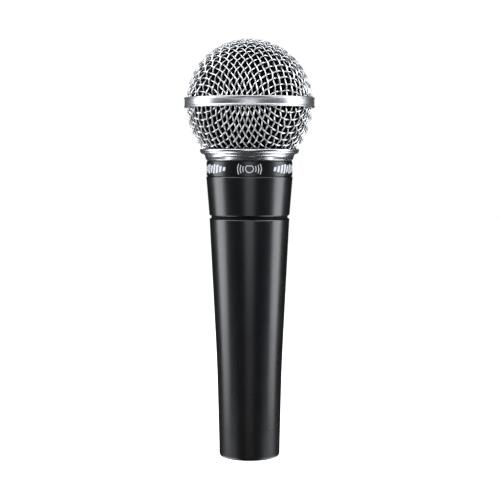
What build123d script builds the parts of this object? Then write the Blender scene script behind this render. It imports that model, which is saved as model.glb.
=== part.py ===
from build123d import *
import math
import os

# A handheld dynamic microphone, in millimetres. It stands on its connector end:
# the origin is the centre of the foot, +Z runs up the axis to the ball grille and
# -Y is the front. Nearly every piece is turned about that axis.

# ------------------------------------------------------------------ driving sizes
ball_radius = 24.5  # outside of the woven grille
ball_centre_z = 137.5  # the ball's widest level, so the ball tops out at 162
mesh_wall = 0.6  # the woven grille's halves, as plain shells
band_radius = 25.25  # the ring round the ball's widest level
band_half_height = 1.95

foot_radius = 11.75
knee_radius = 12.62  # the lower third is nearly straight, the rest flares
knee_z = 36.0
handle_top_radius = 15.48
handle_top_z = 93.0
neck_bottom_radius = 15.5
neck_bottom_z = 94.15
neck_top_radius = 16.72
neck_top_z = 109.1
shoulder_z = 114.95  # top of the label band's seat, where the grille screws down
collar_bottom_z = 115.45
collar_top_z = 119.75

thread_pitch = 1.0
thread_depth = 0.45
fit = 0.05  # clearance between pieces that sit in one another
running = 0.15  # clearance between a thread's crests and its plain bore

connector_bore = 8.15  # three-pin audio connector: shell, pin circle and pin
pin_circle_radius = 4.0
pin_radius = 1.2
insert_face_z = 15.0

os.makedirs("parts", exist_ok=True)


def save(piece, label):
    """Names a finished piece and writes it as its own STEP file."""
    piece.part.label = label
    export_step(piece.part, f"parts/{label}.step")


def thread_ridge(root_radius, start_z, length):
    """A helical ridge for a male thread, sunk a little into the cylinder it joins."""
    with BuildPart() as ridge:
        with BuildLine() as path:
            Helix(thread_pitch, length, root_radius, center=(0, 0, start_z))
        start = Plane(origin=path.line @ 0, x_dir=(1, 0, 0), z_dir=path.line % 0)
        with BuildSketch(start):
            with BuildLine():
                Polyline(
                    (-0.15, -0.42 * thread_pitch),
                    (thread_depth, -0.08 * thread_pitch),
                    (thread_depth, 0.08 * thread_pitch),
                    (-0.15, 0.42 * thread_pitch),
                    close=True,
                )
            make_face()
        sweep(path=path.line, is_frenet=True)
    return ridge.part


def basket_radius(z, inset=0.0):
    """Radius of the lower grille at height z, measured inset from its outer face."""
    return basket_arc_x + math.sqrt((basket_arc_radius - inset) ** 2 - (z - basket_arc_z) ** 2)


def dome_point(radius, z):
    """A point of the ball's upper half at height z, as (radius, z)."""
    return math.sqrt(radius**2 - (z - ball_centre_z) ** 2), z


# ------------------------------------------------------------------ handle
# Die-cast tapered tube. Its foot holds the connector, its top takes the neck's
# thread, and the transformer lies in between.
cavity_start_z = 28.0
cavity_low = (10.45, 40.0)
cavity_high = (12.45, 80.0)
spigot_bore = 12.95
spigot_bore_z = 82.6
latch_recess = (5.0, 3.0, 1.25)  # width, height and depth past the bore
latch_recess_z = 5.0
screw_z = 20.0
screw_hole_radius = 1.6

with BuildPart() as handle:
    with BuildSketch(Plane.XZ) as section:
        with BuildLine():
            Polyline(
                (connector_bore, 0.3),
                (connector_bore + 0.3, 0),
                (foot_radius, 0),
                (knee_radius, knee_z),
                (handle_top_radius, handle_top_z),
                (spigot_bore + 0.3, handle_top_z),
                (spigot_bore, handle_top_z - 0.3),
                (spigot_bore, spigot_bore_z),
                cavity_high,
                cavity_low,
                (9.3, cavity_start_z),
                (connector_bore, cavity_start_z - 1.5),
                close=True,
            )
        make_face()
        fillet(section.vertices().sort_by_distance((knee_radius, knee_z))[0], 800)
        fillet(section.vertices().sort_by_distance((foot_radius, 0))[0], 1.0)
        fillet(section.vertices().sort_by_distance((handle_top_radius, handle_top_z))[0], 0.4)
    revolve(axis=Axis.Z)
    with Locations((0, connector_bore, latch_recess_z)):
        Box(latch_recess[0], 2 * latch_recess[2], latch_recess[1], mode=Mode.SUBTRACT)
    with BuildSketch(Plane.XZ):
        with Locations((0, screw_z)):
            Circle(screw_hole_radius)
    extrude(amount=-2 * foot_radius, mode=Mode.SUBTRACT)
save(handle, "handle")

# ------------------------------------------------------------------ connector
# Moulded insert in the foot, three silver-plated pins through it, a spring clip
# that earths the shell, and the grub screw that locks the insert.
insert_radius = connector_bore - fit
insert_back_z = 25.1
pin_tip_z = 1.3
pin_shank_radius = 1.6  # thicker where the insert grips it
pin_back_z = 30.0
cup_radius = 1.5
cup_bore = 0.9
pin_places = {
    "pin_1": (-pin_circle_radius, 0),
    "pin_2": (pin_circle_radius, 0),
    "pin_3": (0, -pin_circle_radius),
}
key_width = 2.0
key_length = 4.5
key_height = 1.1
grub_radius = 1.45
grub_inner_y = 5.0
grub_outer_y = 10.6

with BuildPart() as connector_insert:
    with BuildSketch(Plane.XY.offset(insert_face_z)):
        Circle(insert_radius)
        with Locations(*pin_places.values()):
            Circle(pin_shank_radius + 0.02, mode=Mode.SUBTRACT)
    extrude(amount=insert_back_z - insert_face_z)
    with BuildSketch(Plane.XY.offset(insert_face_z)):
        Circle(insert_radius)
        Circle(insert_radius - key_height, mode=Mode.SUBTRACT)
        with Locations((0, insert_radius)):
            Rectangle(key_width, 4 * key_height, mode=Mode.INTERSECT)
    extrude(amount=-key_length)
    with BuildSketch(Plane.XZ.offset(-grub_inner_y + 0.2)):
        with Locations((0, screw_z)):
            Circle(grub_radius + fit)
    extrude(amount=-insert_radius, mode=Mode.SUBTRACT)
save(connector_insert, "connector_insert")

for name, place in pin_places.items():
    with BuildPart() as pin:
        with BuildSketch(Plane.XY.offset(pin_tip_z)):
            with Locations(place):
                Circle(pin_radius)
        extrude(amount=insert_face_z - pin_tip_z)
        fillet(pin.edges().sort_by(Axis.Z)[0], 0.9)
        with BuildSketch(Plane.XY.offset(insert_face_z)):
            with Locations(place):
                Circle(pin_shank_radius)
        extrude(amount=pin_back_z - 3.4 - insert_face_z)
        with BuildSketch(Plane.XY.offset(insert_back_z + 0.5)):
            with Locations(place):
                Circle(cup_radius)
        extrude(amount=pin_back_z - insert_back_z - 0.5)
        with BuildSketch(Plane.XY.offset(pin_back_z)):
            with Locations(place):
                Circle(cup_bore)
        extrude(amount=-2.6, mode=Mode.SUBTRACT)
    save(pin, name)

clip_thickness = 0.3
clip_width = 3.4
clip_tab_x = 0.25 - connector_bore
clip_hole_x = -pin_circle_radius - pin_shank_radius
with BuildPart() as ground_clip:
    with BuildSketch(Plane.XY.offset(insert_back_z + 0.02)):
        with Locations(((clip_tab_x + clip_hole_x - 0.2) / 2, 0)):
            Rectangle(clip_hole_x - 0.2 - clip_tab_x, clip_width - 0.6)
        with Locations(pin_places["pin_1"]):
            Circle(pin_shank_radius + 0.8)
            Circle(pin_shank_radius + 0.05, mode=Mode.SUBTRACT)
    extrude(amount=clip_thickness)
    with BuildSketch(Plane.XY.offset(insert_back_z + 0.02)):
        with Locations((clip_tab_x + clip_thickness / 2, 0)):
            Rectangle(clip_thickness, clip_width - 0.6)
    extrude(amount=2.6)
save(ground_clip, "ground_clip")

with BuildPart() as connector_screw:
    with BuildSketch(Plane.XZ.offset(-grub_inner_y)):
        with Locations((0, screw_z)):
            Circle(grub_radius)
    extrude(amount=-(grub_outer_y - grub_inner_y))
    chamfer(connector_screw.faces().sort_by(Axis.Y)[0].edges(), 0.4)
    with Locations((0, grub_outer_y, screw_z)):
        Box(3 * grub_radius, 1.2, 0.5, mode=Mode.SUBTRACT)
save(connector_screw, "connector_screw")

# ------------------------------------------------------------------ transformer
# An E-I stack with its bobbin and winding, held in the handle by potting wax.
stack_centre_z = 53.5
stack_width = 15.0
stack_height = 13.5
stack_depth = 6.5
window_width = 3.0
window_height = 8.5
leg_width = 4.0
bobbin_wall = 0.5
winding_build = 1.8
potting_low_z = 45.0
potting_high_z = 62.0
potting_inset = 0.05

with BuildPart() as transformer_core:
    with BuildSketch(Plane.XZ):
        with Locations((0, stack_centre_z)):
            Rectangle(stack_width, stack_height)
            with Locations(((leg_width + window_width) / 2, 0), (-(leg_width + window_width) / 2, 0)):
                Rectangle(window_width, window_height, mode=Mode.SUBTRACT)
    extrude(amount=stack_depth / 2, both=True)
    chamfer(transformer_core.edges().filter_by(Axis.Y).group_by(Axis.Z)[0], 0.4)
save(transformer_core, "transformer_core")

tube_inner = (leg_width + 2 * fit, stack_depth + 2 * fit)
tube_outer = tuple(side + 2 * bobbin_wall for side in tube_inner)
coil_outer = tuple(side + 2 * winding_build for side in tube_outer)
spool_height = window_height - 2 * fit
with BuildPart() as transformer_bobbin:
    with BuildSketch(Plane.XY.offset(stack_centre_z - spool_height / 2)):
        Rectangle(*tube_outer)
        Rectangle(*tube_inner, mode=Mode.SUBTRACT)
    extrude(amount=spool_height)
    for flange_z in (stack_centre_z - spool_height / 2, stack_centre_z + spool_height / 2 - bobbin_wall):
        with BuildSketch(Plane.XY.offset(flange_z)):
            Rectangle(*coil_outer)
            Rectangle(*tube_inner, mode=Mode.SUBTRACT)
        extrude(amount=bobbin_wall)
save(transformer_bobbin, "transformer_bobbin")

winding_height = spool_height - 2 * bobbin_wall - 2 * fit
with BuildPart() as transformer_winding:
    with BuildSketch(Plane.XY.offset(stack_centre_z - winding_height / 2)) as turns:
        Rectangle(coil_outer[0] - 2 * fit, coil_outer[1] - 2 * fit)
        fillet(turns.vertices(), winding_build - 0.2)
        Rectangle(tube_outer[0] + 2 * fit, tube_outer[1] + 2 * fit, mode=Mode.SUBTRACT)
    extrude(amount=winding_height)
save(transformer_winding, "transformer_winding")


def cavity_radius(z):
    """Inside radius of the handle's tapered cavity at height z."""
    slope = (cavity_high[0] - cavity_low[0]) / (cavity_high[1] - cavity_low[1])
    return cavity_low[0] + slope * (z - cavity_low[1])


pocket = (stack_width + 2 * fit, stack_height + 2 * fit)
with BuildPart() as potting:
    with BuildSketch(Plane.XZ):
        with BuildLine():
            Polyline(
                (0, potting_low_z),
                (cavity_radius(potting_low_z) - potting_inset, potting_low_z),
                (cavity_radius(potting_high_z) - potting_inset, potting_high_z),
                (0, potting_high_z),
                close=True,
            )
        make_face()
    revolve(axis=Axis.Z)
    with Locations((0, 0, stack_centre_z)):
        Box(pocket[0], stack_depth + 2 * fit, pocket[1], mode=Mode.SUBTRACT)
        Box(coil_outer[0] + 2 * fit, coil_outer[1] + 2 * fit, window_height, mode=Mode.SUBTRACT)
save(potting, "transformer_potting")

# ------------------------------------------------------------------ wiring
# Each lead is a tube along straight runs joined by tangent arcs.
lead_radius = 0.55
lead_bend = 3.0
cup_floor_z = pin_back_z - 2.4
leads = {
    "connector_lead_red": (
        (pin_circle_radius, 0, cup_floor_z),
        (pin_circle_radius, 0, 33),
        (5.2, -2.0, 39),
        (5.2, -2.0, potting_low_z - fit),
    ),
    "connector_lead_black": (
        (0, -pin_circle_radius, cup_floor_z),
        (0, -pin_circle_radius, 33),
        (-5.2, -2.0, 39),
        (-5.2, -2.0, potting_low_z - fit),
    ),
    "cartridge_lead_yellow": (
        (3.0, 0, 81.05),
        (3.0, 0, 77),
        (0.9, 0.8, 72),
        (0.9, 0.8, 67.5),
        (3.5, 0, 64.5),
        (3.5, 0, potting_high_z + fit),
    ),
    "cartridge_lead_green": (
        (-3.0, 0, 81.05),
        (-3.0, 0, 77),
        (-0.9, -0.8, 72),
        (-0.9, -0.8, 67.5),
        (-3.5, 0, 64.5),
        (-3.5, 0, potting_high_z + fit),
    ),
}
for name, route in leads.items():
    with BuildPart() as lead:
        with BuildLine() as path:
            FilletPolyline(*route, radius=lead_bend)
        with BuildSketch(Plane(origin=path.line @ 0, z_dir=path.line % 0)):
            Circle(lead_radius)
        sweep(path=path.line)
    save(lead, name)

# ------------------------------------------------------------------ neck
# The upper, fixed part of the body: a thread below into the handle, a thread above
# for the grille, and a seat for the label band.
lower_root = spigot_bore - running - thread_depth
upper_root = 14.7
spigot_low_z = 83.0
spigot_top_z = 120.2
band_seat_radius = 16.2
rear_bore = 10.9
front_bore = 13.4
step_z = 104.0

with BuildPart() as neck:
    with BuildSketch(Plane.XZ) as section:
        with BuildLine():
            Polyline(
                (rear_bore, spigot_low_z),
                (lower_root - 0.4, spigot_low_z),
                (lower_root, spigot_low_z + 0.4),
                (lower_root, neck_bottom_z),
                (neck_bottom_radius, neck_bottom_z),
                (neck_top_radius, neck_top_z),
                (band_seat_radius + 0.12, neck_top_z + 0.05),
                (band_seat_radius, neck_top_z + 0.3),
                (band_seat_radius, shoulder_z),
                (upper_root, shoulder_z),
                (upper_root, spigot_top_z - 0.4),
                (upper_root - 0.4, spigot_top_z),
                (front_bore, spigot_top_z),
                (front_bore, step_z),
                (rear_bore, step_z),
                close=True,
            )
        make_face()
        fillet(section.vertices().sort_by_distance((neck_bottom_radius, neck_bottom_z))[0], 0.45)
        fillet(section.vertices().sort_by_distance((neck_top_radius, neck_top_z))[0], 0.3)
    revolve(axis=Axis.Z)
    add(thread_ridge(lower_root, spigot_low_z + 1.2, 6.6))
    add(thread_ridge(upper_root, shoulder_z + 0.9, 3.5))
save(neck, "neck")

with BuildPart() as label_band:
    with BuildSketch(Plane.XY.offset(neck_top_z + 0.35)):
        Circle(band_seat_radius + 0.38)
        Circle(band_seat_radius + 0.02, mode=Mode.SUBTRACT)
    extrude(amount=shoulder_z - neck_top_z - 0.4)
save(label_band, "label_band")

with BuildPart() as neck_washer:
    with BuildSketch(Plane.XY.offset(handle_top_z + fit)):
        Circle(14.8)
        Circle(spigot_bore + 0.05, mode=Mode.SUBTRACT)
    extrude(amount=neck_bottom_z - handle_top_z - 2 * fit)
save(neck_washer, "neck_washer")

# ------------------------------------------------------------------ cartridge
# A moving-coil capsule: stepped housing, pot magnet, coil on a domed diaphragm,
# resonator cap and screens in front, and a closed air chamber behind.
stem_radius = 10.1
stem_bore = 9.0
port_radius = 10.3
flange_radius = 11.1
flange_z = 113.05
head_radius = 12.5
head_bore = 11.2
head_floor_z = 119.9
head_top_z = 131.6
stem_low_z = 98.0
port_count = 8
port_z = 115.8
port_size = (4.0, 2.6)

with BuildPart() as cartridge_housing:
    with BuildSketch(Plane.XZ):
        with BuildLine():
            Polyline(
                (stem_bore, stem_low_z),
                (stem_radius, stem_low_z),
                (stem_radius, flange_z),
                (flange_radius, flange_z),
                (flange_radius, flange_z + 0.85),
                (port_radius, flange_z + 0.85),
                (port_radius, 117.8),
                (head_radius, 119.6),
                (head_radius, head_top_z),
                (head_bore, head_top_z),
                (head_bore, head_floor_z),
                (stem_bore, head_floor_z),
                close=True,
            )
        make_face()
    revolve(axis=Axis.Z)
    with Locations((0, 0, port_z)):
        with PolarLocations(port_radius - 0.6, port_count):
            Box(4.0, port_size[0], port_size[1], mode=Mode.SUBTRACT)
save(cartridge_housing, "cartridge_housing")

with BuildPart() as port_screen:
    with BuildSketch(Plane.XY.offset(113.6)):
        Circle(stem_bore - fit)
        Circle(stem_bore - 0.3, mode=Mode.SUBTRACT)
    extrude(amount=4.4)
save(port_screen, "port_screen")

yoke_radius = 10.9
yoke_bore = 9.3
yoke_floor_z = head_floor_z + 1.5
plate_z = 125.2
plate_top_z = 126.8
gap_outer = 7.45
gap_inner = 6.3
vent_radius = 1.2
with BuildPart() as yoke_cup:
    with BuildSketch(Plane.XZ):
        with BuildLine():
            Polyline(
                (vent_radius, head_floor_z + 0.01),
                (yoke_radius, head_floor_z + 0.01),
                (yoke_radius, plate_z),
                (yoke_bore, plate_z),
                (yoke_bore, yoke_floor_z),
                (vent_radius, yoke_floor_z),
                close=True,
            )
        make_face()
    revolve(axis=Axis.Z)
save(yoke_cup, "yoke_cup")

# name: (inner radius, outer radius, bottom, top) of each plain ring in the capsule
capsule_rings = {
    "magnet": (vent_radius, gap_inner - 0.2, yoke_floor_z, 125.0),
    "pole_piece": (vent_radius, gap_inner, 125.0, plate_top_z),
    "top_plate": (gap_outer, yoke_radius, plate_z, plate_top_z),
    "diaphragm_seat": (9.7, yoke_radius, plate_top_z, 127.55),
    "voice_coil": (6.6, 7.1, 123.6, 127.55),
    "clamp_ring": (9.7, yoke_radius, 127.8, 128.6),
    "chamber_felt": (0.0, stem_bore - fit, 101.05, 103.5),
    "front_screen": (0.0, 10.9, 132.65, 132.95),
    "terminal_board": (0.0, 6.0, 84.0, 84.95),
}
for name, (inner, outer, bottom, top) in capsule_rings.items():
    with BuildPart() as ring:
        with BuildSketch(Plane.XY.offset(bottom)):
            Circle(outer)
            if inner:
                Circle(inner, mode=Mode.SUBTRACT)
        extrude(amount=top - bottom)
    save(ring, name)

film = 0.15
film_z = 127.6
coil_seat = 7.1
dome_rise = 2.4
dome_sphere = (coil_seat**2 + dome_rise**2) / (2 * dome_rise)
dome_mid = (3.8, film_z + dome_rise - dome_sphere + math.sqrt(dome_sphere**2 - 3.8**2))
with BuildPart() as diaphragm:
    with BuildSketch(Plane.XZ):
        with BuildLine():
            ThreePointArc((0, film_z + dome_rise), dome_mid, (coil_seat, film_z))
            ThreePointArc((coil_seat, film_z), (8.35, film_z + 0.7), (9.6, film_z))
            Line((9.6, film_z), (10.7, film_z))
            Line((10.7, film_z), (10.7, film_z + film))
            Line((10.7, film_z + film), (9.6, film_z + film))
            ThreePointArc((9.6, film_z + film), (8.35, film_z + film + 0.7), (coil_seat, film_z + film))
            outer_mid = (dome_mid[0], dome_mid[1] + film)
            ThreePointArc((coil_seat, film_z + film), outer_mid, (0, film_z + film + dome_rise))
            Line((0, film_z + film + dome_rise), (0, film_z + dome_rise))
        make_face()
    revolve(axis=Axis.Z)
save(diaphragm, "diaphragm")

cap_top_z = 132.6
cap_skirt_z = 128.65
with BuildPart() as resonator_cap:
    with BuildSketch(Plane.XZ):
        with BuildLine():
            Polyline(
                (0, cap_top_z - 1.4),
                (9.9, cap_top_z - 1.4),
                (9.9, cap_skirt_z),
                (head_bore - fit, cap_skirt_z),
                (head_bore - fit, head_top_z + fit),
                (head_radius, head_top_z + fit),
                (head_radius, cap_top_z),
                (0, cap_top_z),
                close=True,
            )
        make_face()
    revolve(axis=Axis.Z)
    with BuildSketch(Plane.XY.offset(cap_top_z)):
        Circle(1.6)
        with PolarLocations(4.6, 6):
            Circle(1.3)
        with PolarLocations(8.0, 12):
            Circle(0.9)
    extrude(amount=-2.0, mode=Mode.SUBTRACT)
save(resonator_cap, "resonator_cap")

with BuildPart() as screen_ring:
    with BuildSketch(Plane.XZ):
        with BuildLine():
            Polyline(
                (10.95, cap_top_z + fit),
                (head_radius, cap_top_z + fit),
                (head_radius, 133.7),
                (head_radius - 0.3, 134.0),
                (9.9, 134.0),
                (9.9, 133.0),
                (10.95, 133.0),
                close=True,
            )
        make_face()
    revolve(axis=Axis.Z)
save(screen_ring, "screen_ring")

chamber_radius = 9.6
chamber_low_z = 85.0
with BuildPart() as rear_chamber:
    with BuildSketch(Plane.XZ):
        with BuildLine():
            Polyline(
                (0, chamber_low_z),
                (chamber_radius - 0.8, chamber_low_z),
                (chamber_radius, chamber_low_z + 0.8),
                (chamber_radius, stem_low_z - fit),
                (stem_bore - fit, stem_low_z - fit),
                (stem_bore - fit, 101.0),
                (8.2, 101.0),
                (8.2, 97.0),
                (8.8, 96.5),
                (8.8, chamber_low_z + 1.0),
                (0, chamber_low_z + 1.0),
                close=True,
            )
        make_face()
    revolve(axis=Axis.Z)
save(rear_chamber, "rear_chamber")

tag_size = (1.8, 0.4, 2.9)
for name, tag_x in (("terminal_tag_left", -3.0), ("terminal_tag_right", 3.0)):
    with BuildPart() as tag:
        with Locations((tag_x, 0, 84.0 - tag_size[2] / 2)):
            Box(*tag_size)
        fillet(tag.edges().filter_by(Axis.Y).group_by(Axis.Z)[0], 0.6)
    save(tag, name)

# ------------------------------------------------------------------ shock mount
# A folded rubber ring between the neck's step and the capsule's stem.
mount_web_z = 112.0
with BuildPart() as shock_mount:
    with BuildSketch(Plane.XZ) as section:
        with BuildLine():
            Polyline(
                (12.4, step_z + fit),
                (front_bore - fit, step_z + fit),
                (front_bore - fit, mount_web_z + 1.0),
                (stem_radius + fit, mount_web_z + 1.0),
                (stem_radius + fit, step_z + 1.5),
                (stem_radius + 1.0, step_z + 1.5),
                (stem_radius + 1.0, mount_web_z),
                (12.4, mount_web_z),
                close=True,
            )
        make_face()
        fillet(section.vertices().sort_by_distance((front_bore, mount_web_z + 1.0))[0], 0.8)
    revolve(axis=Axis.Z)
save(shock_mount, "shock_mount")

# ------------------------------------------------------------------ grille
# Two woven halves pinched between an outer and an inner band, on a flared collar
# that screws onto the neck. The weave is stood for by plain shells.
basket_arc_radius = 26.5
basket_arc_x = -2.1
basket_arc_z = 136.4
basket_low_z = 118.72
half_gap = 0.05
collar_bore = upper_root + thread_depth + running + fit
channel_z = 118.65

with BuildPart() as grille_collar:
    with BuildSketch(Plane.XZ):
        with BuildLine():
            Polyline(
                (17.15, 116.8),
                (16.78, collar_bottom_z + 0.25),
                (16.53, collar_bottom_z),
                (collar_bore + 0.3, collar_bottom_z),
                (collar_bore, collar_bottom_z + 0.3),
                (collar_bore, channel_z),
                (basket_radius(channel_z) + 0.1, channel_z),
                (basket_radius(collar_top_z - 0.1) + 0.1, collar_top_z - 0.1),
                (18.72, collar_top_z),
            )
            ThreePointArc((18.72, collar_top_z), (19.0, collar_top_z - 0.12), (19.12, collar_top_z - 0.4))
            Line((19.12, collar_top_z - 0.4), (19.12, 119.05))
            ThreePointArc((19.12, 119.05), (18.72, 118.15), (17.85, 117.75))
            ThreePointArc((17.85, 117.75), (17.35, 117.4), (17.15, 116.8))
        make_face()
    revolve(axis=Axis.Z)
save(grille_collar, "grille_collar")

with BuildPart() as basket_ring:
    with BuildSketch(Plane.XZ):
        with BuildLine():
            Polyline(
                (collar_bore + 0.3, channel_z + 0.02),
                (basket_radius(channel_z, mesh_wall) - 0.1, channel_z + 0.02),
                (basket_radius(119.6, mesh_wall) - 0.1, 119.6),
                (collar_bore + 0.3, 119.6),
                close=True,
            )
        make_face()
    revolve(axis=Axis.Z)
save(basket_ring, "basket_ring")

mid_z = (basket_low_z + ball_centre_z) / 2
with BuildPart() as grille_basket:
    with BuildSketch(Plane.XZ):
        with BuildLine():
            rim_z = ball_centre_z - half_gap
            outer_low = (basket_radius(basket_low_z), basket_low_z)
            outer_high = (basket_radius(rim_z), rim_z)
            inner_high = (basket_radius(rim_z, mesh_wall), rim_z)
            inner_low = (basket_radius(basket_low_z, mesh_wall), basket_low_z)
            ThreePointArc(outer_low, (basket_radius(mid_z), mid_z), outer_high)
            Line(outer_high, inner_high)
            ThreePointArc(inner_high, (basket_radius(mid_z, mesh_wall), mid_z), inner_low)
            Line(inner_low, outer_low)
        make_face()
    revolve(axis=Axis.Z)
save(grille_basket, "grille_basket")

with BuildPart() as grille_dome:
    with BuildSketch(Plane.XZ):
        with BuildLine():
            rim_z = ball_centre_z + half_gap
            outer_rim = dome_point(ball_radius, rim_z)
            inner_rim = dome_point(ball_radius - mesh_wall, rim_z)
            outer_top = (0, ball_centre_z + ball_radius)
            inner_top = (0, ball_centre_z + ball_radius - mesh_wall)
            ThreePointArc(outer_rim, dome_point(ball_radius, ball_centre_z + 0.6 * ball_radius), outer_top)
            Line(outer_top, inner_top)
            inner_mid = dome_point(ball_radius - mesh_wall, ball_centre_z + 0.6 * ball_radius)
            ThreePointArc(inner_top, inner_mid, inner_rim)
            Line(inner_rim, outer_rim)
        make_face()
    revolve(axis=Axis.Z)
save(grille_dome, "grille_dome")

band_waist = 0.14
with BuildPart() as grille_band:
    with BuildSketch(Plane.XZ) as section:
        low_z = ball_centre_z - band_half_height
        high_z = ball_centre_z + band_half_height
        with BuildLine():
            Line((ball_radius + 0.02, low_z), (band_radius, low_z))
            waist_point = (band_radius - band_waist, ball_centre_z)
            ThreePointArc((band_radius, low_z), waist_point, (band_radius, high_z))
            Line((band_radius, high_z), (ball_radius + 0.02, high_z))
            Line((ball_radius + 0.02, high_z), (ball_radius + 0.02, low_z))
        make_face()
        fillet(section.vertices().group_by(Axis.X)[-1], 0.32)
    revolve(axis=Axis.Z)
save(grille_band, "grille_band")

inner_band_half_height = 1.6
with BuildPart() as inner_band:
    with BuildSketch(Plane.XY.offset(ball_centre_z - inner_band_half_height)):
        Circle(23.72)
        Circle(23.2, mode=Mode.SUBTRACT)
    extrude(amount=2 * inner_band_half_height)
save(inner_band, "grille_inner_band")

# ------------------------------------------------------------------ foam liners
foam_outer = 23.1
foam_thickness = 2.2
foam_inset = ball_radius - foam_outer
foam_low_z = 119.7
with BuildPart() as windscreen_dome:
    with BuildSketch(Plane.XZ):
        with BuildLine():
            rim_z = ball_centre_z + half_gap
            inner = foam_outer - foam_thickness
            outer_rim = dome_point(foam_outer, rim_z)
            inner_rim = dome_point(inner, rim_z)
            outer_mid = dome_point(foam_outer, ball_centre_z + 12)
            ThreePointArc(outer_rim, outer_mid, (0, ball_centre_z + foam_outer))
            Line((0, ball_centre_z + foam_outer), (0, ball_centre_z + inner))
            ThreePointArc((0, ball_centre_z + inner), dome_point(inner, ball_centre_z + 12), inner_rim)
            Line(inner_rim, outer_rim)
        make_face()
    revolve(axis=Axis.Z)
save(windscreen_dome, "windscreen_dome")

with BuildPart() as windscreen_skirt:
    with BuildSketch(Plane.XZ):
        with BuildLine():
            rim_z = ball_centre_z - half_gap
            middle_z = (foam_low_z + rim_z) / 2
            inset = foam_inset + foam_thickness
            outer_low = (basket_radius(foam_low_z, foam_inset), foam_low_z)
            outer_high = (basket_radius(rim_z, foam_inset), rim_z)
            inner_high = (basket_radius(rim_z, inset), rim_z)
            inner_low = (collar_bore + 0.1, foam_low_z)
            inner_knee_z = 121.4
            inner_knee = (basket_radius(inner_knee_z, inset), inner_knee_z)
            inner_middle_z = (inner_knee_z + rim_z) / 2
            ThreePointArc(outer_low, (basket_radius(middle_z, foam_inset), middle_z), outer_high)
            Line(outer_high, inner_high)
            ThreePointArc(inner_high, (basket_radius(inner_middle_z, inset), inner_middle_z), inner_knee)
            Line(inner_knee, inner_low)
            Line(inner_low, outer_low)
        make_face()
    revolve(axis=Axis.Z)
save(windscreen_skirt, "windscreen_skirt")

with BuildPart() as collar_washer:
    with BuildSketch(Plane.XY.offset(shoulder_z + 0.02)):
        Circle(16.4)
        Circle(collar_bore - fit, mode=Mode.SUBTRACT)
    extrude(amount=collar_bottom_z - shoulder_z - 0.06)
save(collar_washer, "collar_washer")
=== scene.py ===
"""A handheld vocal microphone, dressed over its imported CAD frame.

Everything is in the frame's own axes, in metres: the origin is the centre of the foot,
+Z runs up the axis to the ball grille and -Y is the front. Sizes are written in
millimetres where they are declared and turned to metres by MM.
"""

import logging
import math
from dataclasses import dataclass, field
from enum import Enum
from functools import cache
from typing import Callable, ClassVar, Iterable, Optional, Sequence, Union

import bmesh
import bpy
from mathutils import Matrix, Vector, noise


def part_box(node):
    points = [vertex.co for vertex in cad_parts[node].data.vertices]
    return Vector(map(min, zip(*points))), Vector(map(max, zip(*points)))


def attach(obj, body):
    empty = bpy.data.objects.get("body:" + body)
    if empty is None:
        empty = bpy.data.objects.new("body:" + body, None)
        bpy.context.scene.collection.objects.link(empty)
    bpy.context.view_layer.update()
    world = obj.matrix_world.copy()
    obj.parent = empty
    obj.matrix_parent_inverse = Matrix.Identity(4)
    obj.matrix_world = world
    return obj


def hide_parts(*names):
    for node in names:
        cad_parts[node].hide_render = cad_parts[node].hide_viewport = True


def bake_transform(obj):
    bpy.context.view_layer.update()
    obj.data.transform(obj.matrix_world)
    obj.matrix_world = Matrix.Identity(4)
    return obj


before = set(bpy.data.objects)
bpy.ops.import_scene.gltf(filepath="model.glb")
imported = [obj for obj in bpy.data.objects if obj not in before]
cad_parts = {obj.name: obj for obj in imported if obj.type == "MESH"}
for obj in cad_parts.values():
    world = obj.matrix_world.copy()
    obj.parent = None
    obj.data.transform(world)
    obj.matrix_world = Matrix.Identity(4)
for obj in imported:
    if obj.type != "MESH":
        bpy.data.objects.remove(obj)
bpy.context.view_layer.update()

LOG = logging.getLogger("microphone")
MM = 0.001
FULL_TURN = 2.0 * math.pi
MERGE = 0.002 * MM  # vertices nearer than this are one vertex
WAVE_RATE = 20.0  # the wave texture's own factor on its scale

Point = tuple[float, float]
Strip = tuple[list[Point], list[tuple[int, ...]]]
Value = Union[bpy.types.Node, bpy.types.NodeSocket, float, int, tuple, str]


# --------------------------------------------------------------------------- nodes
def linear(hex_colour: str) -> tuple[float, float, float, float]:
    """Turns an sRGB hex colour to the linear colour that Blender's sockets hold.

    Args:
        hex_colour: Six hex digits after a hash.

    Returns:
        Linear red, green and blue, and an alpha of one.
    """
    parts = [int(hex_colour[i : i + 2], 16) / 255.0 for i in (1, 3, 5)]
    red, green, blue = (
        part / 12.92 if part <= 0.04045 else ((part + 0.055) / 1.055) ** 2.4 for part in parts
    )
    return red, green, blue, 1.0


def add(
    tree: bpy.types.NodeTree,
    kind: str,
    inputs: Optional[dict[Union[int, str], Value]] = None,
    **settings: Value,
) -> bpy.types.Node:
    """Adds one node, sets its properties, and fills or links its inputs.

    Args:
        tree: The node tree that takes the node.
        kind: The node's type name.
        inputs: Input name or index to a constant, or to the socket that feeds it, or to a node
            whose first output feeds it.
        **settings: The node's own properties.

    Returns:
        The new node.
    """
    made = tree.nodes.new(kind)
    for key, value in settings.items():
        setattr(made, key, value)
    for key, value in (inputs or {}).items():
        if isinstance(value, bpy.types.Node):
            value = value.outputs[0]
        if isinstance(value, bpy.types.NodeSocket):
            tree.links.new(value, made.inputs[key])
        else:
            made.inputs[key].default_value = value
    return made


def blank_tree(owner: Union[bpy.types.Material, bpy.types.World]) -> bpy.types.NodeTree:
    """Empties the node tree of a material or a world, and returns it."""
    owner.use_nodes = True
    owner.node_tree.nodes.clear()
    return owner.node_tree


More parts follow.
